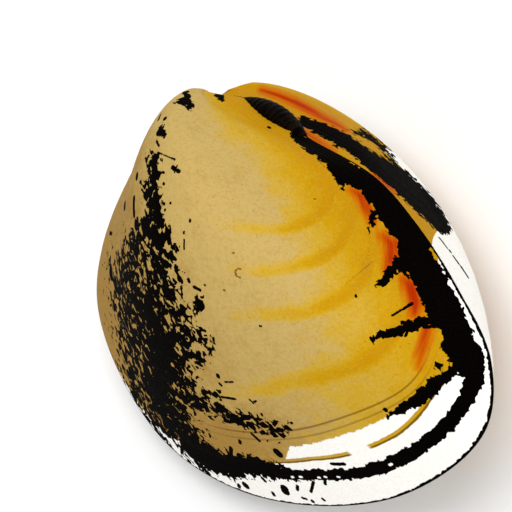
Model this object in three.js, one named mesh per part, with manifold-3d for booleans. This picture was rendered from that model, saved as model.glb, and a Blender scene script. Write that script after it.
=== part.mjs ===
// A closed clam shell: two thin hollow valves that meet along their rims, and the dark ligament
// that joins them behind the beaks. Millimetres, +Z up, lying on the right valve.
//
// Each valve is grown the way a shell grows. The rim outline, drawn around the beak, is repeated
// smaller and smaller while it turns about a coil axis through the beak.
import * as THREE from 'three';
import { ParametricGeometry } from 'three/addons/geometries/ParametricGeometry.js';
import { mergeVertices } from 'three/addons/utils/BufferGeometryUtils.js';
import Module from 'manifold-3d';

// Rim outline in the plane where the valves meet. The beak is at 0, 0, +X runs back along the
// hinge, and +Y is the hinge side.
const RIM = {
  hinge: [[23, 4.8], [37.5, 7.2], [49, 5.6], [61.5, 1.7]],
  backEnd: [[74.2, -4.8], [78.8, -15.3], [68, -36]],
  lowerEdge: [[39.3, -55], [15, -57.8]],
  frontEnd: [[-6.4, -46], [-9.5, -23.4]],
  underBeak: [[2.2, 0.4]],
};
const COIL_AXIS_DEGREES = 59.5; // direction of the coil axis, from the hinge line
const COIL_RATE = 1.89; // how fast the outline shrinks for each radian that it turns
const DOME_HEIGHT = 1.68; // the height of the coil is stretched by this
const BEAK_LIFT = 2; // each beak stands this far off the plane between the valves
const FRONT_SWELL = { gain: 0.5, at: -16, width: 13 }; // fuller front end, before the beak
const TIP_SIZE = 0.04; // the outline at the tip of the beak, as a share of the rim

const WALL_SHARE = 0.93; // the hollow is the valve shrunk to this size about its middle
const HOLLOW_TIP_SIZE = 0.3; // the hollow stops short of the narrow beak
const VALVE_MIDDLE = [34, -25];
const RIM_GAP = 0.3; // between the rims of the two valves

// The ligament's stretch of the hinge line, its section, and its gap to the valves.
const LIGAMENT = { from: 5, to: 21, halfWidth: 2.4, rise: 1.5, depth: 3, gap: 0.35 };

const LIE_DEGREES = 24.8; // the hinge side is up by this much when the closed shell lies down
const WORN_DEPTH = 0.25; // the lowest spot is worn flat by this much

const AROUND = 72; // steps around the rim
const RINGS = 22; // growth steps from the tip to the rim
const HOLLOW_AROUND = 48;
const HOLLOW_RINGS = 9;
const LIGAMENT_STEPS = 20;
const LIGAMENT_SIDES = 12;
const BIG = 300; // larger than the shell, for the block that wears it flat

const wasm = await Module();
wasm.setup();

const rimCurve = new THREE.CatmullRomCurve3(
  Object.values(RIM).flat().map(([x, y]) => new THREE.Vector3(x, y, 0)), true, 'centripetal');

const coilAngle = THREE.MathUtils.degToRad(COIL_AXIS_DEGREES);
const alongAxis = new THREE.Vector3(Math.cos(coilAngle), Math.sin(coilAngle), 0);
const acrossAxis = new THREE.Vector3(-alongAxis.y, alongAxis.x, 0);

// The place of one rim point when the outline had the given size. Size 1 is the rim of today.
function grown(rimPoint, size, target) {
  const turn = -Math.log(size) / COIL_RATE;
  const along = rimPoint.dot(alongAxis) * size;
  const across = rimPoint.dot(acrossAxis) * size;
  target.copy(alongAxis).multiplyScalar(along).addScaledVector(acrossAxis, across * Math.cos(turn));
  const fromFront = (target.x - FRONT_SWELL.at) / FRONT_SWELL.width;
  const swell = 1 + FRONT_SWELL.gain * Math.exp(-fromFront * fromFront);
  const height = -across * Math.sin(turn) * DOME_HEIGHT + BEAK_LIFT * (1 - size * size);
  target.z = RIM_GAP / 2 + height * swell;
  return target;
}

// A closed dome under the grown surface, filled down to the rim plane. side is 1 for the upper
// valve and -1 for the lower one.
function dome(side, around, rings, tipSize) {
  const rim = rimCurve.getSpacedPoints(around);
  const place = (u, v, target) => {
    const ring = Math.round(v * (rings + 2));
    const rimPoint = rim[Math.round((side > 0 ? u : 1 - u) * around)];
    if (ring === 0) {
      target.copy(middleOfRing(rim, tipSize));
    } else if (ring === rings + 2) {
      target.set(VALVE_MIDDLE[0], VALVE_MIDDLE[1], RIM_GAP / 2);
    } else {
      grown(rimPoint, tipSize ** (1 - (ring - 1) / rings), target);
    }
    target.z *= side;
  };
  return new ParametricGeometry(place, around, rings + 2);
}

function middleOfRing(rim, size) {
  const middle = new THREE.Vector3();
  const point = new THREE.Vector3();
  const steps = rim.length - 1;
  for (let i = 0; i < steps; i++) middle.add(grown(rim[i], size, point));
  return middle.divideScalar(steps);
}

// A manifold-3d solid from a closed geometry, without the flat triangles at its poles.
function solid(geometry) {
  geometry.deleteAttribute('normal');
  geometry.deleteAttribute('uv');
  const merged = mergeVertices(geometry, 1e-4);
  const index = merged.index.array;
  const triangles = [];
  for (let i = 0; i < index.length; i += 3) {
    const [a, b, c] = index.subarray(i, i + 3);
    if (a !== b && b !== c && c !== a) triangles.push(a, b, c);
  }
  const mesh = new wasm.Mesh({
    numProp: 3,
    vertProperties: new Float32Array(merged.attributes.position.array),
    triVerts: new Uint32Array(triangles),
  });
  return new wasm.Manifold(mesh);
}

function geometryOf(manifold) {
  const mesh = manifold.getMesh();
  const geometry = new THREE.BufferGeometry();
  geometry.setAttribute('position', new THREE.BufferAttribute(mesh.vertProperties, 3));
  geometry.setIndex(new THREE.BufferAttribute(mesh.triVerts, 1));
  geometry.computeVertexNormals();
  return geometry;
}

// A thin bowl: the dome less its own smaller copy, which starts a little way past the rim plane.
function valve(side) {
  const [x, y] = VALVE_MIDDLE;
  const hollow = dome(side, HOLLOW_AROUND, HOLLOW_RINGS, HOLLOW_TIP_SIZE)
    .translate(-x, -y, -side * RIM_GAP)
    .scale(WALL_SHARE, WALL_SHARE, WALL_SHARE)
    .translate(x, y, 0);
  return solid(dome(side, AROUND, RINGS, TIP_SIZE)).subtract(solid(hollow));
}

// A fat arched strip along the hinge, widest in its middle, that fills the groove between the
// valves and keeps clear of both.
function ligament() {
  const spine = hingeStretch(LIGAMENT.from, LIGAMENT.to, LIGAMENT_STEPS);
  const place = (u, v, target) => {
    const step = Math.round(v * LIGAMENT_STEPS);
    const fullness = Math.sin(Math.PI * step / LIGAMENT_STEPS);
    const angle = 2 * Math.PI * (Math.round(u * LIGAMENT_SIDES) % LIGAMENT_SIDES) / LIGAMENT_SIDES;
    const reach = Math.sin(angle) > 0 ? LIGAMENT.rise : LIGAMENT.depth;
    target.copy(spine[step]);
    target.y += Math.sin(angle) * reach * fullness;
    target.z -= Math.cos(angle) * LIGAMENT.halfWidth * fullness;
  };
  let strip = solid(new ParametricGeometry(place, LIGAMENT_SIDES, LIGAMENT_STEPS));
  for (const side of [1, -1]) {
    const neighbour = dome(side, AROUND, RINGS, TIP_SIZE).translate(0, LIGAMENT.gap, -side * LIGAMENT.gap);
    strip = strip.subtract(solid(neighbour));
  }
  return strip;
}

// Points on the hinge stretch of the rim, evenly spaced in x.
function hingeStretch(fromX, toX, steps) {
  const hinge = rimCurve.getSpacedPoints(720).filter((point) => point.y > -10);
  return Array.from({ length: steps + 1 }, (unused, i) => {
    const x = fromX + (toX - fromX) * i / steps;
    return hinge.reduce((best, p) => (Math.abs(p.x - x) < Math.abs(best.x - x) ? p : best)).clone();
  });
}

// The lowest spot of the laid-down shell, flattened where it has rubbed on the sand.
function wornFlat(body, lowest) {
  const sand = new THREE.BoxGeometry(BIG, BIG, BIG).translate(0, 0, lowest + WORN_DEPTH - BIG / 2);
  return body.subtract(solid(sand));
}

const shellFinish = new THREE.MeshStandardMaterial({ color: 0xd9b878, roughness: 0.5, metalness: 0 });
const ligamentFinish = new THREE.MeshStandardMaterial({ color: 0x2b1c12, roughness: 0.6, metalness: 0 });

const lie = new THREE.Matrix4().makeRotationX(THREE.MathUtils.degToRad(LIE_DEGREES));
const layDown = (body) => solid(geometryOf(body).applyMatrix4(lie));
const upper = layDown(valve(1));
const lower = layDown(valve(-1));
const lowest = lower.boundingBox().min[2];

const shell = new THREE.Group();
const parts = [
  ['left_valve', upper, shellFinish],
  ['right_valve', wornFlat(lower, lowest), shellFinish],
  ['ligament', layDown(ligament()), ligamentFinish],
];
for (const [name, body, finish] of parts) {
  const mesh = new THREE.Mesh(geometryOf(body), finish);
  mesh.name = name;
  shell.add(mesh);
}

// The origin is under the middle of the shell, on the surface that it lies on.
const bounds = new THREE.Box3().setFromObject(shell);
const middle = bounds.getCenter(new THREE.Vector3());
shell.position.set(-middle.x, -middle.y, -bounds.min.z);

export default shell;
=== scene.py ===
"""A closed clam shell that lies on its right valve, with its dark skin half worn away, the skin's black
partly painted shade.

Each valve is grown ring by ring from its beak, and painted in growth places: how far round
the rim a spot lies, and how large the shell was when it made that spot.
"""
import functools
import math

import bmesh
import bpy
import numpy as np
from mathutils import Matrix, Vector, geometry, noise
from mathutils.bvhtree import BVHTree


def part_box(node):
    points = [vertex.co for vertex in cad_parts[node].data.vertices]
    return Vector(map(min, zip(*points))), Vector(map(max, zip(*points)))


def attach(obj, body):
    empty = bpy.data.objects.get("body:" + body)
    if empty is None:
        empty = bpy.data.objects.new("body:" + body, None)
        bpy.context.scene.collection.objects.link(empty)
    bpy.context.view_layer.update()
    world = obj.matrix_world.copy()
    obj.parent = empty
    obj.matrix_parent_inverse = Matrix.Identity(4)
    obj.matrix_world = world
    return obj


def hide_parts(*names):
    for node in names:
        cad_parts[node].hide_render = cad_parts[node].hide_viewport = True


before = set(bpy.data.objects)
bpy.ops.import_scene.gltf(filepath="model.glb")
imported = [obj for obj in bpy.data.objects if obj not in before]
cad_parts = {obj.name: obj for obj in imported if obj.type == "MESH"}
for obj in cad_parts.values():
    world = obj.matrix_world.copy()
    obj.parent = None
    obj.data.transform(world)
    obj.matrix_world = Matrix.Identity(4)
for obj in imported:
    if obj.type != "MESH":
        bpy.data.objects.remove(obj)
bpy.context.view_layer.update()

MM = 0.001

# The rim where the valves meet, in mm. The beak is at 0, 0 and +X runs back along the hinge.
RIM = [
    (23, 4.8), (37.5, 7.2), (49, 5.6), (61.5, 1.7), (74.2, -4.8), (78.8, -15.3),
    (68, -36), (39.3, -55), (15, -57.8), (-6.4, -46), (-9.5, -23.4), (2.2, 0.4),
]
COIL_ANGLE = math.radians(59.5)  # of the coil axis, from the hinge line
COIL_AXIS = Vector((math.cos(COIL_ANGLE), math.sin(COIL_ANGLE), 0))
COIL_RATE = 1.89  # how fast the outline shrinks for each radian that it turns
DOME_HEIGHT = 1.68  # the height of the coil is stretched by this
BEAK_LIFT = 2.0  # each beak stands this far off the plane between the valves
SWELL_GAIN, SWELL_AT, SWELL_WIDTH = 0.5, -16.0, 13.0  # a fuller front end, before the beak
TIP_SIZE = 0.04  # the outline at the tip of the beak, as a share of the rim
RIM_GAP = 0.3  # between the rims of the two valves
LIE = Matrix.Rotation(math.radians(24.8), 4, "X")  # the hinge side is up when the shell lies down

# The hollow inside a valve is the valve again, smaller about its middle.
WALL_SHARE = 0.93
HOLLOW_TIP_SIZE = 0.3
VALVE_MIDDLE = Vector((34, -25, RIM_GAP / 2))

AROUND, RINGS, HOLLOW_RINGS = 384, 216, 20
CORNER_STEPS = 60  # spots on the rim curve from one of its points to the next
RING_CROWDING = 0.8  # below 1, the rings lie closer together towards the rim
BOX_AROUND, BOX_RINGS = 72, 60  # spots that find the box of a grown valve

# Ages, as a share of today's, at which the shell paused: the gold bands, and two later steps.
BAND_AGES = [0.31, 0.435, 0.56, 0.72]
STEP_AGES = BAND_AGES + [0.815, 0.9]
LINE_AGES = [(0.814, 0.7), (0.832, 0.45)]  # two drawn growth lines, and how dark they are

# Growth lines lean: they bunch up between these places round the rim, and most at the middle one.
LEAN_FROM, LEAN_MOST, LEAN_TO, LEAN = -0.1, 0.09, 0.42, 3.6

# Fine growth ridges: how many from beak to rim, their rise in mm, and the scale of its noise.
RIDGES, RIDGE_RISE, RIDGE_NOISE = 40, 0.012, 0.07
NOISE_ELSEWHERE = Vector((9, 0, 0))  # a second stretch of the noise, unlike the first

# Steps where the shell paused: the rise in mm, the width as an age, and how gentle the older side is.
STEP_RISE, STEP_WIDTH, STEP_LEAD = 0.05, 0.012, 3
DRIFT, DRIFT_NOISE = 0.01, 0.05  # ridges and steps waver by this much age
RELIEF_FADE = 0.01  # they die out over this share of the size, at the rim

BEAK_TO_RIM = 85.0  # about how far it is over the shell, in mm
PATTERN_RADIUS = 4.0  # growth patterns lie on a thin tube, so they are drawn out round the rim

LIGAMENT_FROM, LIGAMENT_TO = 5.5, 21.0
LIGAMENT_HALF_WIDTH, LIGAMENT_RISE, LIGAMENT_DEPTH = 2.5, 1.6, 2.8
LIGAMENT_BLUNTNESS = 0.8  # below 1, its ends are blunter than an arch
LIGAMENT_SIDES, LIGAMENT_RIBS, LIGAMENT_RIB_RISE = 28, 13, 0.03
FINE_RIM_SPOTS, HINGE_ABOVE = 1440, -10  # the hinge is the part of the rim above this y, in mm

# The photograph's view of the shell as it lies, in degrees and mm.
VIEW_AZIMUTH, VIEW_ELEVATION, VIEW_ROLL = 99.23, 56.45, -59.66
VIEW_AIM = Vector((-10.86, 4.53, 25.92))
PHOTO_SIDE = 512
PIXELS_PER_MM = 6.0
LENS, SENSOR = 1200.0, 36.0
NEAREST, FARTHEST = 0.1, 12  # what the camera sees, in metres


# Camera

def view_axes():
    """The directions right, up and back towards the camera."""
    turn, rise = math.radians(VIEW_AZIMUTH), math.radians(VIEW_ELEVATION)
    back = Vector((math.sin(turn) * math.cos(rise), -math.cos(turn) * math.cos(rise), math.sin(rise)))
    right = Vector((0, 0, 1)).cross(back).normalized()
    right.rotate(Matrix.Rotation(math.radians(VIEW_ROLL), 3, back))
    return right, back.cross(right), back


def view_distance():
    return PHOTO_SIDE / PIXELS_PER_MM * LENS / SENSOR


def add_camera():
    right, up, back = view_axes()
    lens = bpy.data.cameras.new("camera")
    lens.lens = LENS
    lens.sensor_width = SENSOR
    lens.clip_start, lens.clip_end = NEAREST, FARTHEST
    camera = bpy.data.objects.new("camera", lens)
    turned = Matrix((right, up, back)).transposed().to_4x4()
    camera.matrix_world = Matrix.Translation((VIEW_AIM + back * view_distance()) * MM) @ turned
    bpy.context.scene.collection.objects.link(camera)
    bpy.context.scene.camera = camera


def sight_line(x, y):
    """From the camera through a pixel of the photograph: a start in mm, and a direction."""
    right, up, back = view_axes()
    start = VIEW_AIM + back * view_distance()
    across, down = x - PHOTO_SIDE / 2, y - PHOTO_SIDE / 2
    return start, (VIEW_AIM + (right * across - up * down) / PIXELS_PER_MM - start).normalized()


# Growth

def rim_spots(count):
    """Evenly spaced spots along the closed rim, from the hinge's first one."""
    line = []
    corners = [Vector((x, y, 0)) for x, y in RIM]
    for i, start in enumerate(corners):
        before, end = corners[i - 1], corners[(i + 1) % len(RIM)]
        after = corners[(i + 2) % len(RIM)]
        a, b, c = (math.sqrt((q - p).length) for p, q in [(before, start), (start, end), (end, after)])
        leave = (start - before) / a - (end - before) / (a + b) + (end - start) / b
        reach = (end - start) / b - (after - start) / (b + c) + (after - end) / c
        handles = start + leave * b / 3, end - reach * b / 3
        line += geometry.interpolate_bezier(start, *handles, end, CORNER_STEPS)[:-1]
    line.append(line[0])
    steps = [(q - p).length for p, q in zip(line, line[1:])]
    run = np.concatenate([[0], np.cumsum(steps)])
    at = np.linspace(0, run[-1], count, endpoint=False)
    across, up = (np.interp(at, run, [spot[k] for spot in line]) for k in (0, 1))
    return [Vector((x, y, 0)) for x, y in zip(across, up)]


def coil_turn(size):
    return -math.log(size) / COIL_RATE


def domed(place, size, side):
    """A coiled place, raised to the full height of the shell. side is 1 above and -1 below."""
    swell = 1 + SWELL_GAIN * math.exp(-((place.x - SWELL_AT) / SWELL_WIDTH) ** 2)
    height = place.z * DOME_HEIGHT + BEAK_LIFT * (1 - size * size)
    return Vector((place.x, place.y, side * (RIM_GAP / 2 + height * swell)))


def sizes(tip, rings):
    return [tip + (1 - tip) * (k / rings) ** RING_CROWDING for k in range(rings + 1)]


def next_ring(bm, edges):
    """A copy of a ring of edges, joined to it by a strip of faces: its vertices and its edges."""
    made = bmesh.ops.extrude_edge_only(bm, edges=edges)["geom"]
    ring = [item for item in made if isinstance(item, bmesh.types.BMVert)]
    here = set(ring)
    joined = [item for item in made if isinstance(item, bmesh.types.BMEdge)]
    return ring, [edge for edge in joined if here.issuperset(edge.verts)]


def ring_edges(ring):
    return list({edge for vert in ring for edge in vert.link_edges})


def grow(bm, tip, rings, side):
    """A bowl grown from the beak to the rim. Returns its first ring, last ring and all vertices."""
    around, size_of = bm.verts.layers.float["around"], bm.verts.layers.float["size"]
    first = bmesh.ops.create_circle(bm, segments=AROUND, radius=1)["verts"]
    for k, (vert, spot) in enumerate(zip(first, rim_spots(AROUND))):
        vert.co = spot
        vert[around] = k / AROUND
        vert[size_of] = tip
    start = Matrix.Rotation(-coil_turn(tip), 4, COIL_AXIS) @ Matrix.Scale(tip, 4)
    bmesh.ops.transform(bm, matrix=start, verts=first)
    first_edges = edges = ring_edges(first)
    grown = list(first)
    path = sizes(tip, rings)
    for old, new in zip(path, path[1:]):
        ring, edges = next_ring(bm, edges)
        step = Matrix.Rotation(coil_turn(old) - coil_turn(new), 4, COIL_AXIS) @ Matrix.Scale(new / old, 4)
        bmesh.ops.transform(bm, matrix=step, verts=ring)
        for vert in ring:
            vert[size_of] = new
        grown += ring
    for vert in grown:
        vert.co = domed(vert.co, vert[size_of], side)
    return first_edges, edges, grown


def close_tip(bm, edges):
    """A small fan over the ring at the beak's tip, which curls in under the shell."""
    face = bmesh.ops.contextual_create(bm, geom=edges)["faces"]
    bmesh.ops.poke(bm, faces=face)


# Painting

# Strokes over the photograph, in pixels. Each has the width of its ragged edge, how closed it is,
# and its places with their half width. SOLID has no holes, and SPOTTY is full of them.
SOLID, SPOTTY = 3.0, 0.75
# The skin strokes paint black that is partly dark skin and partly painted shade, on the front and back slopes
# and along the lower edge.
UPPER_SKIN_AND_SHADE = [
    (1.2, SOLID, [(186, 93, 3), (187, 99, 4), (190, 105, 4)]),
    (1.2, SOLID, [(176, 103, 2), (182, 102, 3.5), (188, 101, 4)]),
    (1, SOLID, [(216, 94, 2), (221, 97, 3.2), (222, 101, 2.5)]),
    (1.5, SOLID, [(161, 126, 2), (161, 132, 3.5), (164, 137, 1.2)]),
    (3, 1.2, [(152, 154, 4), (154, 168, 7), (153, 180, 6), (152, 192, 7), (155, 203, 6), (156, 212, 8),
              (152, 224, 12), (148, 236, 12)]),
    (8, SPOTTY, [(150, 240, 17), (148, 254, 24), (144, 270, 29), (146, 285, 31), (147, 310, 31),
                 (156, 335, 33), (158, 360, 34), (160, 385, 33), (163, 402, 29)]),
    (7, 1.7, [(152, 288, 8), (148, 304, 14), (154, 328, 17), (158, 350, 20), (158, 375, 22), (160, 395, 19),
              (166, 412, 16), (178, 428, 14), (192, 442, 12)]),
    (3, SPOTTY, [(185, 332, 5), (200, 336, 6), (212, 342, 5), (210, 352, 3)]),
    (2, SOLID, [(199, 301, 5), (198, 309, 5.5), (197, 313, 4)]),
    (3, SOLID, [(196, 355, 4), (200, 362, 4)]),
    (1.5, SOLID, [(201, 393, 2), (210, 393, 3), (218, 394, 2)]),
    (4, SPOTTY, [(196, 402, 8), (212, 408, 7), (224, 412, 6), (232, 418, 5), (247, 421, 5), (258, 425, 5),
                 (271, 427, 4), (276, 433, 5), (285, 431, 4)]),
    (2.5, SOLID, [(186, 444, 9), (200, 453, 11), (213, 460, 12), (235, 466, 12), (257, 467, 10),
                  (280, 472.5, 7)]),
    (1.1, SOLID, [(270, 471, 7), (290, 474.5, 6), (312, 475.5, 5.5), (354, 474, 5.5), (383, 467, 7.5),
                  (413, 453, 7.5), (440, 432, 7.5), (457, 412, 8), (468, 396, 8.5), (474, 381, 10)]),
    (1.5, SOLID, [(294, 135, 3), (301, 140, 6), (313, 147, 6.5), (324, 153, 7.5), (334, 161, 9),
                (345, 172, 12), (366, 181, 11), (383, 199, 13), (396, 217, 16), (411, 235, 14),
                (414, 255, 18), (425, 271, 16), (434, 288, 15.5), (441, 303, 17), (451, 317, 15),
                (457, 330, 14.5), (458, 345, 16), (467, 359, 17), (473, 371, 11)]),
    (1.2, SOLID, [(341, 183, 3), (337, 187, 1)]),
    (1.2, SOLID, [(343, 185, 3), (343, 192, 1.2)]),
    (1.2, SOLID, [(374, 212, 3), (373, 218, 4), (371, 225, 2.5), (369, 234, 1.2)]),
    (1.5, SOLID, [(399, 262, 6), (390, 272, 5.5), (384, 281, 4.5), (376, 286, 2)]),
    (1.6, SOLID, [(440, 320, 8), (425, 322, 6), (410, 326, 7.5), (398, 331, 6), (386, 335, 4),
                  (374, 338, 3), (362, 343, 1.5)]),
    (1.6, SOLID, [(387, 418, 1), (396, 411, 3.5), (408, 405, 5.5), (420, 398, 7), (432, 387, 7),
                  (443, 378, 5), (455, 370, 5)]),
    (1.5, SOLID, [(433, 370, 2), (438, 367, 3.5)]),
]
LOWER_SKIN_AND_SHADE = [
    (1.2, SOLID, [(303, 121, 5), (314, 126, 6), (325, 131, 7), (345, 141.5, 8), (360, 151.5, 7.5),
                  (374.5, 163, 9), (391, 173.5, 11), (406.5, 186, 11.5), (420.5, 200, 11), (433, 214, 9.5),
                  (442, 225.5, 7.5), (446.5, 230, 5)]),
    (1.5, SPOTTY, [(347, 131, 1.5), (362, 133, 3), (374, 139, 3), (384, 148, 3), (392, 160, 4)]),
]
UPPER_BLUSH = [
    (6, SOLID, [(352, 190, 3), (361, 196, 6), (366, 208, 6), (372, 220, 4)]),
    (7, SOLID, [(384, 236, 5), (391, 245, 8), (391, 258, 8), (388, 268, 5)]),
    (7, SOLID, [(405, 280, 5), (412, 290, 8), (416, 302, 8), (415, 313, 5)]),
    (7, SOLID, [(428, 325, 5), (425, 340, 5), (421, 355, 4), (419, 368, 2)]),
]
LOWER_BLUSH = [
    (5, SOLID, [(262, 90, 3), (280, 95.5, 4), (295, 102, 4.5), (308, 109, 4.5), (320, 116, 4),
                (334, 123, 3.5), (346, 130, 2)]),
    (5, SOLID, [(302, 130, 3), (318, 141, 3), (335, 151, 1)]),
    (4, SOLID, [(374, 173, 2), (385, 183, 3), (396, 194, 1)]),
]
LOWER_BARE = [
    (2, SOLID, [(388, 150, 3), (410, 172, 3), (433, 200, 5), (450, 225, 8), (452, 245, 20),
                (465, 280, 22), (475, 310, 22), (484, 350, 20)]),
]

# How far round the rim from the hinge, and the size there past which the colour has worn off.
UPPER_BARE_LIMIT = [
    (-0.1, 1.02), (0.12, 1.02), (0.15, 0.98), (0.2, 0.96), (0.243, 0.928), (0.25, 0.915),
    (0.264, 0.9), (0.276, 0.888), (0.287, 0.877), (0.305, 0.866), (0.33, 0.857), (0.36, 0.85),
    (0.41, 0.85), (0.43, 0.885), (0.53, 0.915), (0.6, 0.96), (0.66, 1.0), (0.9, 1.02),
]
LOWER_BARE_LIMIT = [
    (-0.1, 1.02), (0.12, 1.02), (0.15, 0.9), (0.24, 0.88), (0.32, 0.86), (0.42, 0.87), (0.5, 0.9),
    (0.58, 0.95), (0.66, 1.0), (0.9, 1.02),
]

# Gold reaches this much further round past this size, and less far by this much at the beak.
GOLD_SPREAD, GOLD_SPREAD_FROM, BEAK_TAN = 0.72, 0.48, 0.08
FRONT_PAINTED_SHADE, EDGE_PAINTED_SHADE = 0.8, 0.5  # how much painted shade darkens the tan at the front, and near the lower edge

# Each valve's strokes and limit, and how far round from the hinge its gold reaches.
UPPER = {"skin_and_shade": UPPER_SKIN_AND_SHADE, "blush": UPPER_BLUSH, "bare": [], "limit": UPPER_BARE_LIMIT, "gold": 0.15}
LOWER = {
    "skin_and_shade": LOWER_SKIN_AND_SHADE, "blush": LOWER_BLUSH, "bare": LOWER_BARE, "limit": LOWER_BARE_LIMIT, "gold": 0.42,
}
RIM_SKIN, RIM_SKIN_SOFTNESS = 0.32, 0.1  # the dark edge of each rim, in mm

STROKE_STEP = 3  # spots along a stroke are this far apart, in pixels
OUTSIDE = -3.0  # the depth of a spot that no stroke reaches

# Strokes fade where the shell turns away from the camera, and the twin's where it turns towards it.
TURNED_AWAY, HIDDEN_FADE, TWIN_FADE = -0.17, 20, 9
STEEPEST = 0.25  # on a steeper slope than this a small mark isn't widened further

# The olive line of an older rim, by how far round it runs and its size there.
MARGIN_LINE = [
    (0.25, 0.908), (0.27, 0.902), (0.31, 0.902), (0.34, 0.896), (0.4, 0.885), (0.45, 0.89),
    (0.49, 0.89), (0.53, 0.914), (0.56, 0.926), (0.6, 0.96),
]

# Two strips of gold are left beside the olive line: from where to where round the rim, and the
# softness of their ends. They lie this far from the line, in mm, and fade between these widths.
GOLD_STRIPS, STRIP_END = [(0.235, 0.342), (0.358, 0.6)], 0.004
STRIP_FROM_LINE, STRIP_EDGE = -0.25, (0.5, 0.36)

# Small marks over the photograph, in pixels: from x, y to x, y, and the half width.
# Small black specks, partly of dark skin and partly painted shade.
SKIN_AND_SHADE_MARKS = [
    (165, 118, 165, 119, 1.5), (160.6, 114.8, 158.4, 120, 0.9), (156.5, 141, 159, 146, 0.9),
    (157.7, 152.5, 174.7, 159.6, 0.8), (172.5, 167.3, 179, 171.7, 1.8), (175, 172, 177, 166, 0.9),
    (136.7, 176, 137, 177, 2), (140, 182, 141, 182, 1), (163.6, 183.6, 164, 184, 1.2),
    (141.4, 189.5, 148, 196.9, 0.8), (124.4, 205, 125, 206, 2.5), (134, 199, 134, 214, 2.2),
    (170, 203, 171, 203, 1), (190, 220, 190, 221, 1.3), (109.6, 233, 112, 233.5, 1),
    (184, 232, 184, 233, 1.2), (184.3, 240, 184, 249, 1), (167, 231, 167, 233, 3),
    (169, 239.5, 169, 241.5, 3), (172, 247, 174, 247.5, 2), (136, 224, 136, 226, 3),
    (129, 236, 132, 233, 1), (132, 233, 135, 236, 1), (111, 270, 111, 274, 3.5),
    (115.5, 282, 116, 286, 3.5), (188.7, 280, 189, 281, 2), (194, 287, 200, 290, 1.5),
    (204.7, 285, 205, 285.5, 1), (218, 375.5, 218, 376.5, 2), (220, 384, 221, 385, 1.5),
    (225, 382, 233, 382, 0.8), (222, 397, 235, 399, 1.2), (250, 400, 253, 403, 1),
    (253, 403, 256, 401, 1), (261.6, 414, 262, 415, 1.2), (291, 423, 292, 423, 1.2),
    (252, 434, 259, 440.5, 1.6), (277, 452, 279, 454, 3.6), (240, 441, 240, 443, 1.5),
    (231, 448, 231, 455, 1.8), (452, 430, 453, 430, 2.2), (206, 471, 208, 473, 2.5),
    (245.5, 485, 246, 486, 3), (189, 461, 190, 463, 1.8), (223, 483, 224, 485, 1.5),
    (239, 485, 239, 487, 1.5), (263, 479, 265, 481, 1.6), (284.5, 488, 285.5, 492, 3.4),
    (273, 493, 274, 495, 1.6), (302.7, 498, 306, 499, 1.4), (313.5, 482, 311, 492, 1.3),
    (325, 481, 325, 484, 1.5), (312.5, 501, 313, 502, 1.5), (323, 499, 324, 500, 1.5),
    (297.5, 486, 297.5, 490, 1.4), (385, 409.5, 386, 410.5, 2), (355.8, 295.5, 356, 296.5, 1.2),
    (260, 326, 261, 326, 1), (269, 127, 269, 128, 1.3), (392.5, 315.5, 404, 308.5, 1.2),
    (404, 308.5, 412, 303.5, 1.6), (332, 464, 344, 464, 1.8), (440, 238.6, 446.8, 247.5, 1.3),
    (450, 250.9, 450.2, 251.5, 1.3), (453.7, 256.7, 458.8, 263.9, 1.3), (461.2, 266.8, 467.6, 276.7, 1.3),
]
GAP_MARKS = [
    (292, 477, 293, 477, 1.2), (300, 477, 301.5, 477, 1.2), (318.5, 477.5, 319.5, 477.5, 1.1),
    (325, 477, 326, 477, 1.1), (338, 477, 339, 477, 1.1), (390, 465, 391.5, 464, 1.3),
]
PIT_MARKS = [
    (240.5, 269, 237.5, 268.5, 0.8), (237.5, 268.5, 235, 272, 1), (235, 272, 236.5, 276, 1),
    (236.5, 276, 240, 277.5, 0.8), (223.5, 290, 224.5, 290.5, 1), (345, 285, 358, 274, 0.3),
    (358, 274, 372, 262, 0.3), (233, 253, 234, 253, 0.8), (314, 199, 315, 199, 0.8),
]


def from_hinge(around):
    """How far round the rim from the hinge's first spot, from -0.1 just before it."""
    return (around - LEAN_FROM) % 1 + LEAN_FROM


def age_power(around):
    """How strongly the growth lines bunch up towards the back of the hinge."""
    around = from_hinge(around)
    if around < LEAN_MOST:
        share = 0.5 - 0.5 * math.cos(math.pi * (around - LEAN_FROM) / (LEAN_MOST - LEAN_FROM))
    else:
        share = max(0, (LEAN_TO - around) / (LEAN_TO - LEAN_MOST)) ** 3
    return 1 + LEAN * share


def smooth(low, high, value):
    share = np.clip((value - low) / (high - low), 0, 1)
    return share * share * (3 - 2 * share)


def in_photo(spots):
    """Where spots, in mm, show in the photograph, in pixels."""
    right, up, back = (np.array(axis) for axis in view_axes())
    aside = spots - np.array(VIEW_AIM)
    scale = PIXELS_PER_MM * view_distance() / (view_distance() - aside @ back)
    return np.stack([PHOTO_SIDE / 2 + aside @ right * scale, PHOTO_SIDE / 2 - aside @ up * scale], -1)


def spread(corners):
    """The corners of a stroke and evenly spaced spots between them, with the width as last number."""
    for start, end in zip(corners, corners[1:]):
        count = max(1, round(math.dist(start[:-1], end[:-1]) / STROKE_STEP))
        for k in range(count):
            yield [a + (b - a) * k / count for a, b in zip(start, end)]
    yield list(corners[-1])


def cover(spots, strokes):
    """How deep each spot lies inside the strokes: 0 at an edge, and 1 a ragged width further in."""
    depth = np.full(len(spots), OUTSIDE)
    for ragged, fullest, corners in strokes:
        for *middle, half_width in spread(corners):
            gap = np.linalg.norm(spots - np.array(middle), axis=1)
            np.maximum(depth, np.minimum((half_width - gap) / ragged, fullest), out=depth)
    return depth


def set_numbers(mesh, name, values, on="POINT"):
    """Stores one number or one vector for each vertex, or for each face."""
    flat = np.ndim(values) == 1
    made = mesh.attributes.new(name, "FLOAT" if flat else "FLOAT_VECTOR", on)
    made.data.foreach_set("value" if flat else "vector", np.asarray(values, np.float32).ravel())


def read_numbers(items, field, width=1):
    values = np.zeros(len(items) * width, np.float32)
    items.foreach_get(field, values)
    return values.reshape(-1, width) if width > 1 else values


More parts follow.
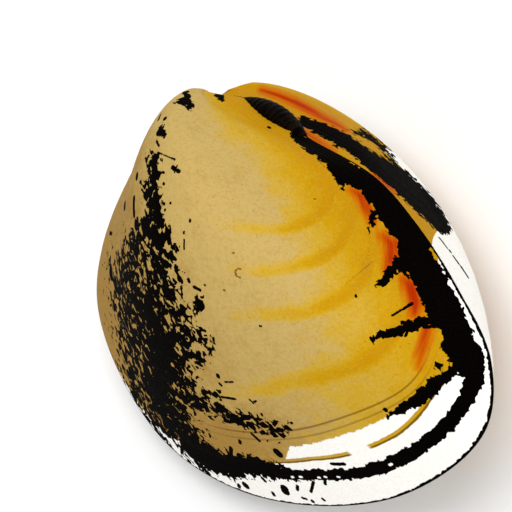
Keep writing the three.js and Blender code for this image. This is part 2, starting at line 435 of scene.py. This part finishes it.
def seen_cover(spots, facing, strokes):
    """How deep spots lie inside strokes over the photograph, if they face the camera."""
    depth = cover(in_photo(spots), strokes)
    return depth - HIDDEN_FADE * (1 - smooth(TURNED_AWAY, 0.0, facing))


def mirrored(spots):
    """The same growth places on the other valve."""
    placed = placed_matrix()
    flip = np.array(placed @ Matrix.Scale(-1, 4, (0, 0, 1)) @ placed.inverted())
    return spots @ flip[:3, :3].T + flip[:3, 3] / MM


def past_line(size, back, line):
    """How far beyond a line round the shell each place lies, in mm. The line is a list of places."""
    return (size - np.interp(back, *zip(*line))) * BEAK_TO_RIM


def gold_depth(size, back, most):
    """How gold the shell is: more towards the hinge and as it grew, and less at the beak."""
    growth = GOLD_SPREAD * np.maximum(size - GOLD_SPREAD_FROM, 0)
    return most + growth - back - BEAK_TAN * smooth(0.35, 0.12, size)


def painted_shade_depth(size, back):
    """How much painted shade darkens the tan: more towards the front, and near the lower edge."""
    edge = smooth(0.7, 0.9, size) * smooth(0.2, 0.4, back)
    return FRONT_PAINTED_SHADE * smooth(0.28, 0.6, back) + EDGE_PAINTED_SHADE * edge


def paint(mesh, own, twin=None):
    """Stores on the mesh where it is old or young, gold, red, bare, in painted shade, and covered in dark
    skin whose black is partly painted shade.

    Where it faces away from the camera, it is painted as its twin is on the other side."""
    around = read_numbers(mesh.attributes["around"].data, "value")
    size = read_numbers(mesh.attributes["size"].data, "value")
    spots = read_numbers(mesh.vertices, "co", 3) / MM
    normals = read_numbers(mesh.vertex_normals, "vector", 3)
    toward = np.array(view_axes()[2])
    facing = normals @ toward
    painted = {name: seen_cover(spots, facing, own[name]) for name in ("skin_and_shade", "blush", "bare")}
    if twin:
        across = mirrored(spots)
        twin_facing = (mirrored(spots + normals) - across) @ toward
        for name, own_depth in painted.items():
            depth = seen_cover(across, twin_facing, twin[name])
            depth -= TWIN_FADE * smooth(TURNED_AWAY, 0.0, facing)
            painted[name] = np.maximum(own_depth, depth)
    back = from_hinge(around)
    angle = 2 * math.pi * around
    circle = [PATTERN_RADIUS * np.cos(angle), PATTERN_RADIUS * np.sin(angle), 0 * angle]
    set_numbers(mesh, "along", np.stack(circle, -1))
    set_numbers(mesh, "age", size ** np.array([age_power(u) for u in around]))
    set_numbers(mesh, "back", back)
    set_numbers(mesh, "gold", gold_depth(size, back, own["gold"]))
    # Painted shade, darker towards the front and near the lower edge.
    set_numbers(mesh, "painted_shade", painted_shade_depth(size, back))
    set_numbers(mesh, "margin", past_line(size, back, MARGIN_LINE))
    worn = past_line(size, back, own["limit"])
    set_numbers(mesh, "bare", np.maximum(worn, painted["bare"]))
    lip = (RIM_SKIN - (1 - size) * BEAK_TO_RIM) / RIM_SKIN_SOFTNESS
    # Black of the skin, partly painted shade, with the dark edge of the rim.
    set_numbers(mesh, "skin_and_shade", np.maximum(lip, painted["skin_and_shade"]))
    set_numbers(mesh, "blush", painted["blush"])


def found_marks(pieces, marks):
    """Where small marks lie on the pieces, in mm: a start, an end and a half width each."""
    trees = [BVHTree.FromPolygons([vert.co / MM for vert in piece.data.vertices],
                                  [face.vertices for face in piece.data.polygons]) for piece in pieces]
    found = []
    for x1, y1, x2, y2, half_width in marks:
        ends = []
        for x, y in [(x1, y1), (x2, y2)]:
            hits = [tree.ray_cast(*sight_line(x, y)) for tree in trees]
            ends += sorted((hit for hit in hits if hit[0]), key=lambda hit: hit[3])[:1]
        if len(ends) == 2:
            slope = max(STEEPEST, ends[0][1] @ view_axes()[2])
            half_width /= PIXELS_PER_MM * math.sqrt(slope)
            found.append((np.array(ends[0][0]), np.array(ends[1][0]), half_width))
    return found


def set_marks(mesh, name, marks):
    """Stores on each face the mark that it lies deepest in: its start, its reach and its half width."""
    middles = read_numbers(mesh.polygons, "center", 3) / MM
    deepest = np.full(len(middles), -np.inf)
    nearest = np.zeros((len(middles), 7))
    for start, end, half_width in marks:
        reach = end - start
        share = np.clip((middles - start) @ reach / (reach @ reach), 0, 1)
        depth = half_width - np.linalg.norm(middles - start - share[:, None] * reach, axis=1)
        here = depth > deepest
        deepest[here] = depth[here]
        nearest[here] = [*start, *reach, half_width]
    set_numbers(mesh, name + "_start", nearest[:, :3], "FACE")
    set_numbers(mesh, name + "_reach", nearest[:, 3:6], "FACE")
    set_numbers(mesh, name + "_half_width", nearest[:, 6], "FACE")


# Building

def relief(around, size, place):
    """The growth ridges' height over the smooth shell, in mm."""
    age = size ** age_power(around)
    drift = noise.noise(place * DRIFT_NOISE) * DRIFT
    fine = math.sin(2 * math.pi * (age + drift) * RIDGES) * RIDGE_RISE
    fine *= 0.5 + noise.noise(place * RIDGE_NOISE + NOISE_ELSEWHERE)
    steps = 0
    for at in STEP_AGES:
        past = (age + drift - at) / STEP_WIDTH
        if past < 0:
            past /= STEP_LEAD
        steps += STEP_RISE * math.exp(-past * past)
    return fine + steps


def finish_piece(bm, name, node):
    mesh = bpy.data.meshes.new(name)
    bm.to_mesh(mesh)
    bm.free()
    mesh.shade_smooth()
    piece = bpy.data.objects.new(name, mesh)
    bpy.context.scene.collection.objects.link(piece)
    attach(piece, "root")
    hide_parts(node)
    return piece


def add_valve(name, side, node):
    bm = bmesh.new()
    bm.verts.layers.float.new("around")
    bm.verts.layers.float.new("size")
    tip, rim, outer = grow(bm, TIP_SIZE, RINGS, side)
    hollow_tip, hollow_rim, inner = grow(bm, HOLLOW_TIP_SIZE, HOLLOW_RINGS, side)
    middle = Vector((VALVE_MIDDLE.x, VALVE_MIDDLE.y, side * VALVE_MIDDLE.z))
    shrink = Matrix.Translation(middle) @ Matrix.Scale(WALL_SHARE, 4) @ Matrix.Translation(-middle)
    bmesh.ops.transform(bm, matrix=shrink, verts=inner)
    close_tip(bm, tip)
    close_tip(bm, hollow_tip)
    bmesh.ops.bridge_loops(bm, edges=rim + hollow_rim)
    bmesh.ops.recalc_face_normals(bm, faces=bm.faces)
    bm.normal_update()
    around, size_of = bm.verts.layers.float["around"], bm.verts.layers.float["size"]
    raised = [(vert, relief(vert[around], vert[size_of], vert.co)) for vert in outer]
    for vert, height in raised:
        fade = min(1, (1 - vert[size_of]) / RELIEF_FADE)
        vert.co += vert.normal * height * fade
    bmesh.ops.transform(bm, matrix=placed_matrix(), verts=bm.verts)
    if side < 0:
        cut = bmesh.ops.bisect_plane(bm, geom=bm.verts[:] + bm.edges[:] + bm.faces[:], plane_co=(0, 0, 0),
                                     plane_no=(0, 0, 1), clear_inner=True)["geom_cut"]
        bmesh.ops.contextual_create(bm, geom=[item for item in cut if isinstance(item, bmesh.types.BMEdge)])
    return finish_piece(bm, name, node)


@functools.cache
def placed_matrix():
    """From the shell's own frame in mm to the place where it lies, in metres."""
    low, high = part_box("left_valve")
    spots = [LIE @ domed(Matrix.Rotation(-coil_turn(s), 4, COIL_AXIS) @ (spot * s), s, 1)
             for s in sizes(TIP_SIZE, BOX_RINGS) for spot in rim_spots(BOX_AROUND)]
    own_low = Vector([min(spot[k] for spot in spots) for k in range(3)])
    own_high = Vector([max(spot[k] for spot in spots) for k in range(3)])
    shift = (low + high) / 2 / MM - (own_low + own_high) / 2
    return Matrix.Scale(MM, 4) @ Matrix.Translation(shift) @ LIE


def add_ligament():
    """A fat arched strip along the hinge, widest in its middle, with low ribs across it."""
    hinge = [spot for spot in rim_spots(FINE_RIM_SPOTS) if spot.y > HINGE_ABOVE]
    spine = [spot for spot in hinge if LIGAMENT_FROM <= spot.x <= LIGAMENT_TO]
    bm = bmesh.new()
    upright = Matrix.Rotation(math.radians(90), 4, "Y")
    ring = bmesh.ops.create_circle(bm, segments=LIGAMENT_SIDES, radius=1, matrix=upright)["verts"]
    for vert in ring:
        vert.co.y *= LIGAMENT_RISE if vert.co.y > 0 else LIGAMENT_DEPTH
        vert.co.z *= LIGAMENT_HALF_WIDTH
    first_edges = edges = ring_edges(ring)
    place = Matrix.Identity(4)
    for k, spot in enumerate(spine):
        share = (k + 0.5) / len(spine)
        rib = LIGAMENT_RIB_RISE * math.cos(2 * math.pi * LIGAMENT_RIBS * share)
        fullness = math.sin(math.pi * share) ** LIGAMENT_BLUNTNESS * (1 + rib)
        new_place = Matrix.Translation(spot) @ Matrix.Scale(fullness, 4)
        if k:
            ring, edges = next_ring(bm, edges)
        bmesh.ops.transform(bm, matrix=new_place @ place.inverted(), verts=ring)
        place = new_place
    close_tip(bm, first_edges)
    close_tip(bm, edges)
    bmesh.ops.recalc_face_normals(bm, faces=bm.faces)
    bmesh.ops.transform(bm, matrix=placed_matrix(), verts=bm.verts)
    return finish_piece(bm, "hinge_ligament", "ligament")


# Materials

SCREEN_GAMMA = 2.2
# PAINTED_SHADE_TAN is the tan darkened as painted shade, and in random darker blotches.
TAN, PAINTED_SHADE_TAN = (186, 158, 94), (158, 122, 60)
MOTTLE_DARK, MOTTLE_PALE = (164, 128, 54), (202, 172, 92)
GOLDS = [(0, (186, 156, 88)), (0.35, (192, 154, 52)), (0.65, (190, 144, 14)), (1, (184, 132, 0))]
EMBER, RED = (188, 100, 2), (168, 46, 2)
PORE, FAINT_LINE, OLIVE, UMBER = (120, 84, 38), (150, 118, 62), (112, 84, 20), (100, 66, 14)
CHALK_SHADE, CHALK = (238, 234, 224), (251, 250, 246)
# The black of the skin, which is partly painted shade.
SKIN_AND_SHADE_BLACK, WORN_SKIN_AND_SHADE_BLACK = (2, 2, 2), (16, 12, 9)
LIGAMENT_DARK, LIGAMENT_RIB, LIGAMENT_GRAIN = (5, 3, 2), (30, 20, 13), (12, 8, 6)
SHELL_SHINE, LIGAMENT_SHINE = 0.01, 0.015

# A gold band over the ages about its own: an offset, and how full the gold is there, up to 255.
BAND_SHAPE = [(-0.07, 0), (-0.03, 130), (-0.01, 235), (0.004, 240), (0.022, 0)]


def add(tree, kind, inputs=None, **settings):
    """A node with its settings, and with its inputs set to values or joined to other outputs."""
    made = tree.nodes.new(kind)
    for name, value in settings.items():
        setattr(made, name, value)
    for key, value in (inputs or {}).items():
        if isinstance(value, bpy.types.NodeSocket):
            tree.links.new(value, made.inputs[key])
        else:
            made.inputs[key].default_value = value
    return made


def maths(tree, operation, a, b=0.0, clamp=False):
    return add(tree, "ShaderNodeMath", {0: a, 1: b}, operation=operation, use_clamp=clamp).outputs[0]


def mixed(tree, share, a, b):
    node = add(tree, "ShaderNodeMix", {0: share, 6: a, 7: b}, data_type="RGBA")
    return node.outputs[2]


def number(tree, name):
    return add(tree, "ShaderNodeAttribute", attribute_name=name).outputs["Fac"]


def arrow(tree, name):
    return add(tree, "ShaderNodeAttribute", attribute_name=name).outputs["Vector"]


def steep(tree, value, low, high):
    """0 below low and 1 above high."""
    inputs = {0: value, 1: low, 2: high}
    return add(tree, "ShaderNodeMapRange", inputs, interpolation_type="SMOOTHSTEP").outputs[0]


def cloud(tree, vector, scale, detail=4.0, roughness=0.6, distortion=0.0):
    inputs = {
        "Vector": vector, "Scale": scale, "Detail": detail, "Roughness": roughness, "Distortion": distortion,
    }
    return add(tree, "ShaderNodeTexNoise", inputs).outputs[0]


def paint_colour(shade):
    """A colour given as it looks on a screen, from 0 to 255."""
    return (*((part / 255) ** SCREEN_GAMMA for part in shade), 1)


def new_material(name):
    material = bpy.data.materials.new(name)
    material.use_nodes = True
    tree = material.node_tree
    return material, tree, tree.nodes["Principled BSDF"]


def shell_material():
    material, tree, surface = new_material("worn_shell")
    place = millimetres(tree)
    drift = maths(tree, "MULTIPLY", centred(tree, cloud(tree, place, 0.12)), 0.03)
    age = maths(tree, "ADD", number(tree, "age"), drift)
    streak = cloud(tree, growth_rings(tree, age), 0.5, 3.0, 0.6)
    grain = grouped(tree, grain_group(), {"Place": place, "Scale": 2.2})

    base = tan_and_gold(tree, place, age, streak)
    blush = maths(tree, "ADD", number(tree, "blush"), maths(tree, "MULTIPLY", centred(tree, streak), 1.8))
    base = mixed(tree, steep(tree, blush, -1.0, 0.2), base, paint_colour(EMBER))
    base = mixed(tree, steep(tree, blush, -0.2, 1.0), base, paint_colour(RED))
    base = drawn_lines(tree, base, age)

    bare = bare_mask(tree, place)
    chalk = mixed(tree, grain, paint_colour(CHALK_SHADE), paint_colour(CHALK))
    base = mixed(tree, bare, base, chalk)
    pores = steep(tree, cloud(tree, place, 3.4, 2.0, 0.5), 0.66, 0.74)
    pit = steep(tree, mark_depth(tree, place, "pit"), -0.1, 0.1)
    spots = maths(tree, "MAXIMUM", maths(tree, "MULTIPLY", pores, 0.5), pit)
    spots = maths(tree, "MULTIPLY", spots, maths(tree, "SUBTRACT", 1.0, bare))
    base = mixed(tree, spots, base, paint_colour(PORE))

    # Black skin, partly painted shade.
    skin_and_shade = skin_and_shade_mask(tree, place)
    base = mixed(tree, skin_and_shade, base, mixed(tree, grain, paint_colour(SKIN_AND_SHADE_BLACK), paint_colour(WORN_SKIN_AND_SHADE_BLACK)))
    tree.links.new(base, surface.inputs["Base Color"])
    surface.inputs["Specular IOR Level"].default_value = SHELL_SHINE
    dull = maths(tree, "MAXIMUM", maths(tree, "MULTIPLY", skin_and_shade, 0.8), bare)
    dull = maths(tree, "ADD", dull, grain)
    roughness = add(tree, "ShaderNodeMapRange", {0: dull, 2: 1.6, 3: 0.45, 4: 0.85})
    tree.links.new(roughness.outputs[0], surface.inputs["Roughness"])
    height = maths(tree, "ADD", maths(tree, "MULTIPLY", grain, 0.03), maths(tree, "MULTIPLY", skin_and_shade, 0.08))
    height = maths(tree, "SUBTRACT", height, maths(tree, "MULTIPLY", spots, 0.05))
    bump = add(tree, "ShaderNodeBump", {"Height": height, "Distance": MM, "Strength": 1.0})
    tree.links.new(bump.outputs[0], surface.inputs["Normal"])
    return material


def growth_rings(tree, age):
    """A vector that changes fast from ring to ring and slowly along each ring."""
    fast = add(tree, "ShaderNodeCombineXYZ", {2: maths(tree, "MULTIPLY", age, BEAK_TO_RIM)}).outputs[0]
    return vectors(tree, "ADD", arrow(tree, "along"), fast)


def tan_and_gold(tree, place, age, streak):
    blotch = centred(tree, cloud(tree, place, 0.25, 4.0, 0.6))
    wash = centred(tree, cloud(tree, place, 1.1, 4.0, 0.65))
    # Painted shade towards the front and the lower edge, made uneven by random blotches.
    painted_shade = maths(tree, "ADD", number(tree, "painted_shade"), maths(tree, "ADD", blotch, wash))
    tan = mixed(tree, steep(tree, painted_shade, -0.1, 1.0), paint_colour(TAN), paint_colour(PAINTED_SHADE_TAN))
    gold = maths(tree, "ADD", number(tree, "gold"), maths(tree, "MULTIPLY", blotch, 0.2))
    bands = add(tree, "ShaderNodeValToRGB", {"Fac": age})
    shape_bands(bands.color_ramp)
    richness = add(tree, "ShaderNodeMapRange", {0: gold, 1: -0.02, 2: 0.27}).outputs[0]
    fade = add(tree, "ShaderNodeMapRange", {0: gold, 1: -0.17, 2: 0.0, 3: 0.0, 4: 0.62}).outputs[0]
    richness = maths(tree, "ADD", richness, maths(tree, "MULTIPLY", bands.outputs[0], fade))
    for detail, amount in [(centred(tree, streak), 0.12), (wash, 0.3)]:
        richness = maths(tree, "ADD", richness, maths(tree, "MULTIPLY", detail, amount))
    golds = add(tree, "ShaderNodeValToRGB", {"Fac": richness})
    set_ramp(golds.color_ramp, GOLDS)
    base = mixed(tree, steep(tree, richness, 0.0, 0.3), tan, golds.outputs[0])
    mottle = cloud(tree, place, 1.8, 3.0, 0.6)
    for full, strength, shade in [(0.68, 0.3, MOTTLE_DARK), (0.34, 0.12, MOTTLE_PALE)]:
        share = maths(tree, "MULTIPLY", steep(tree, mottle, 0.5, full), strength)
        base = mixed(tree, share, base, paint_colour(shade))
    return base


def drawn_lines(tree, base, age):
    """Faint growth lines all over, two dark ones, and the olive line of an older rim."""
    back = number(tree, "back")
    faint = cloud(tree, growth_rings(tree, age), 1.5, 2.0, 0.5)
    share = maths(tree, "MULTIPLY", steep(tree, faint, 0.56, 0.72), 0.12)
    base = mixed(tree, share, base, paint_colour(FAINT_LINE))
    shown = maths(tree, "MULTIPLY", steep(tree, back, 0.22, 0.27), steep(tree, back, 0.52, 0.46))
    for at, share in LINE_AGES:
        line = steep(tree, gap_from(tree, number(tree, "age"), at), 0.0035, 0.0005)
        line = maths(tree, "MULTIPLY", maths(tree, "MULTIPLY", line, shown), share)
        base = mixed(tree, line, base, paint_colour(UMBER))
    line = steep(tree, gap_from(tree, number(tree, "margin"), 0.0), 0.28, 0.06)
    shown = maths(tree, "MULTIPLY", steep(tree, back, 0.23, 0.26), steep(tree, back, 0.64, 0.58))
    return mixed(tree, maths(tree, "MULTIPLY", line, shown), base, paint_colour(OLIVE))


def gap_from(tree, value, level):
    return maths(tree, "ABSOLUTE", maths(tree, "SUBTRACT", value, level))


def bare_mask(tree, place):
    """Where the colour has worn off, but for a strip of gold along the olive line."""
    uneven = maths(tree, "MULTIPLY", centred(tree, cloud(tree, place, 0.9)), 1.2)
    bare = steep(tree, maths(tree, "ADD", number(tree, "bare"), uneven), -0.1, 0.15)
    from_line = maths(tree, "ADD", number(tree, "margin"), maths(tree, "MULTIPLY", uneven, 0.3))
    strip = steep(tree, gap_from(tree, from_line, STRIP_FROM_LINE), *STRIP_EDGE)
    back = number(tree, "back")
    for low, high in GOLD_STRIPS:
        ends = steep(tree, back, low, low + STRIP_END), steep(tree, back, high, high - STRIP_END)
        here = maths(tree, "MULTIPLY", *ends)
        kept = maths(tree, "SUBTRACT", 1.0, maths(tree, "MULTIPLY", strip, here))
        bare = maths(tree, "MULTIPLY", bare, kept)
    return bare


def skin_and_shade_mask(tree, place):
    # Where the black of skin and painted shade lies.
    rough = maths(tree, "MULTIPLY", centred(tree, cloud(tree, place, 0.7, 2.0, 0.45, 0.9)), 9.0)
    skin_and_shade = steep(tree, maths(tree, "ADD", number(tree, "skin_and_shade"), rough), -0.08, 0.08)
    # Small black specks of skin and painted shade.
    skin_and_shade = maths(tree, "MAXIMUM", skin_and_shade, steep(tree, mark_depth(tree, place, "skin_and_shade_speck"), -0.04, 0.04))
    return maths(tree, "MULTIPLY", skin_and_shade, steep(tree, mark_depth(tree, place, "gap"), 0.04, -0.04))


def mark_depth(tree, place, name):
    """How deep each place lies inside the nearest mark of this name, in mm, with an uneven edge."""
    reach = arrow(tree, name + "_reach")
    away = vectors(tree, "SUBTRACT", place, arrow(tree, name + "_start"))
    share = maths(tree, "DIVIDE", vectors(tree, "DOT_PRODUCT", away, reach, "Value"),
                  vectors(tree, "DOT_PRODUCT", reach, reach, "Value"), clamp=True)
    nearest = add(tree, "ShaderNodeVectorMath", {0: reach, "Scale": share}, operation="SCALE").outputs[0]
    gap = vectors(tree, "DISTANCE", away, nearest, "Value")
    uneven = maths(tree, "MULTIPLY", centred(tree, cloud(tree, place, 2.5)), 0.45)
    depth = maths(tree, "SUBTRACT", number(tree, name + "_half_width"), gap)
    return maths(tree, "ADD", depth, uneven)


@functools.cache
def grain_group():
    """Fine uneven grain from 0 to 1, in two sizes."""
    tree = bpy.data.node_groups.new("fine_grain", "ShaderNodeTree")
    tree.interface.new_socket("Place", in_out="INPUT", socket_type="NodeSocketVector")
    tree.interface.new_socket("Scale", in_out="INPUT", socket_type="NodeSocketFloat")
    tree.interface.new_socket("Grain", in_out="OUTPUT", socket_type="NodeSocketFloat")
    given = tree.nodes.new("NodeGroupInput").outputs
    coarse = cloud(tree, given["Place"], given["Scale"], 3.0, 0.6)
    fine = cloud(tree, given["Place"], maths(tree, "MULTIPLY", given["Scale"], 3.0), 2.0, 0.5)
    grain = steep(tree, maths(tree, "ADD", coarse, fine), 0.6, 1.4)
    tree.links.new(grain, tree.nodes.new("NodeGroupOutput").inputs["Grain"])
    return tree


def grouped(tree, group, values):
    """The one output of a node group, with its inputs set or joined."""
    return add(tree, "ShaderNodeGroup", values, node_tree=group).outputs[0]


def vectors(tree, operation, a, b, output="Vector"):
    return add(tree, "ShaderNodeVectorMath", {0: a, 1: b}, operation=operation).outputs[output]


def centred(tree, value):
    return maths(tree, "SUBTRACT", value, 0.5)


def millimetres(tree):
    place = add(tree, "ShaderNodeTexCoord").outputs["Object"]
    return add(tree, "ShaderNodeMapping", {"Vector": place, "Scale": (1 / MM, 1 / MM, 1 / MM)}).outputs[0]


def set_ramp(ramp, stops):
    """Gives a colour ramp its stops: a position, and a colour as it looks on a screen."""
    while len(ramp.elements) > 1:
        ramp.elements.remove(ramp.elements[0])
    ramp.elements[0].position = stops[0][0]
    ramp.elements[0].color = paint_colour(stops[0][1])
    for at, colour in stops[1:]:
        ramp.elements.new(at).color = paint_colour(colour)


def shape_bands(ramp):
    """Soft bands, each sharper on the side that grew later."""
    bands = [(at + offset, (level,) * 3) for at in BAND_AGES for offset, level in BAND_SHAPE]
    set_ramp(ramp, [(0, (0, 0, 0))] + bands)


def ligament_material():
    material, tree, surface = new_material("dark_ligament")
    place = millimetres(tree)
    across = add(tree, "ShaderNodeMapping", {"Vector": place, "Scale": (2.4, 0.25, 0.25)}).outputs[0]
    ribs = cloud(tree, across, 1.0, 3.0, 0.6)
    grain = grouped(tree, grain_group(), {"Place": place, "Scale": 3.0})
    shade = mixed(tree, steep(tree, ribs, 0.4, 0.65), paint_colour(LIGAMENT_DARK), paint_colour(LIGAMENT_RIB))
    shade = mixed(tree, maths(tree, "MULTIPLY", grain, 0.4), shade, paint_colour(LIGAMENT_GRAIN))
    tree.links.new(shade, surface.inputs["Base Color"])
    surface.inputs["Specular IOR Level"].default_value = LIGAMENT_SHINE
    roughness = add(tree, "ShaderNodeMapRange", {0: grain, 3: 0.4, 4: 0.7}).outputs[0]
    tree.links.new(roughness, surface.inputs["Roughness"])
    height = maths(tree, "ADD", maths(tree, "MULTIPLY", ribs, 0.12), maths(tree, "MULTIPLY", grain, 0.03))
    bump = add(tree, "ShaderNodeBump", {"Height": height, "Distance": MM, "Strength": 1.0})
    tree.links.new(bump.outputs[0], surface.inputs["Normal"])
    return material


# Studio, in metres and watts

FLOOR_REACH, FLOOR_SHADE, FLOOR_ROUGHNESS = 6, (0.9, 0.9, 0.9, 1), 0.9
OVERHEAD_PLACE, OVERHEAD_SIZE, OVERHEAD_WATTS = (0.0, 0.3, 0.9), 1.0, 7
SIDE_PLACE, SIDE_SIZE, SIDE_WATTS = (0.8, -0.5, 0.5), 0.8, 2.6
SKY_SHADE, SKY_STRENGTH = (1, 1, 1, 1), 0.62


def add_floor():
    bm = bmesh.new()
    bmesh.ops.create_grid(bm, x_segments=1, y_segments=1, size=FLOOR_REACH)
    mesh = bpy.data.meshes.new("floor")
    bm.to_mesh(mesh)
    bm.free()
    material, _, surface = new_material("pale_floor")
    surface.inputs["Base Color"].default_value = FLOOR_SHADE
    surface.inputs["Roughness"].default_value = FLOOR_ROUGHNESS
    mesh.materials.append(material)
    floor = bpy.data.objects.new("floor", mesh)
    bpy.context.scene.collection.objects.link(floor)


def add_light(name, place, size, watts):
    light = bpy.data.lights.new(name, "AREA")
    light.shape, light.size, light.energy = "DISK", size, watts
    lamp = bpy.data.objects.new(name, light)
    lamp.location = place
    lamp.rotation_euler = (-Vector(place)).to_track_quat("-Z", "Y").to_euler()
    lamp.visible_camera = False
    bpy.context.scene.collection.objects.link(lamp)


def add_studio():
    add_floor()
    add_light("overhead", OVERHEAD_PLACE, OVERHEAD_SIZE, OVERHEAD_WATTS)
    add_light("side", SIDE_PLACE, SIDE_SIZE, SIDE_WATTS)
    world = bpy.data.worlds.new("studio")
    world.use_nodes = True
    sky = world.node_tree.nodes["Background"]
    sky.inputs["Color"].default_value = SKY_SHADE
    sky.inputs["Strength"].default_value = SKY_STRENGTH
    bpy.context.scene.world = world
    bpy.context.scene.view_settings.view_transform = "Standard"


add_camera()
add_studio()
upper = add_valve("upper_valve", 1, "left_valve")
lower = add_valve("lower_valve", -1, "right_valve")
paint(upper.data, UPPER)
paint(lower.data, LOWER, twin=UPPER)
for name, marks in [("skin_and_shade_speck", SKIN_AND_SHADE_MARKS), ("gap", GAP_MARKS), ("pit", PIT_MARKS)]:
    found = found_marks([upper, lower], marks)
    for valve in (upper, lower):
        set_marks(valve.data, name, found)
shell_finish = shell_material()
for valve in (upper, lower):
    valve.data.materials.append(shell_finish)
add_ligament().data.materials.append(ligament_material())
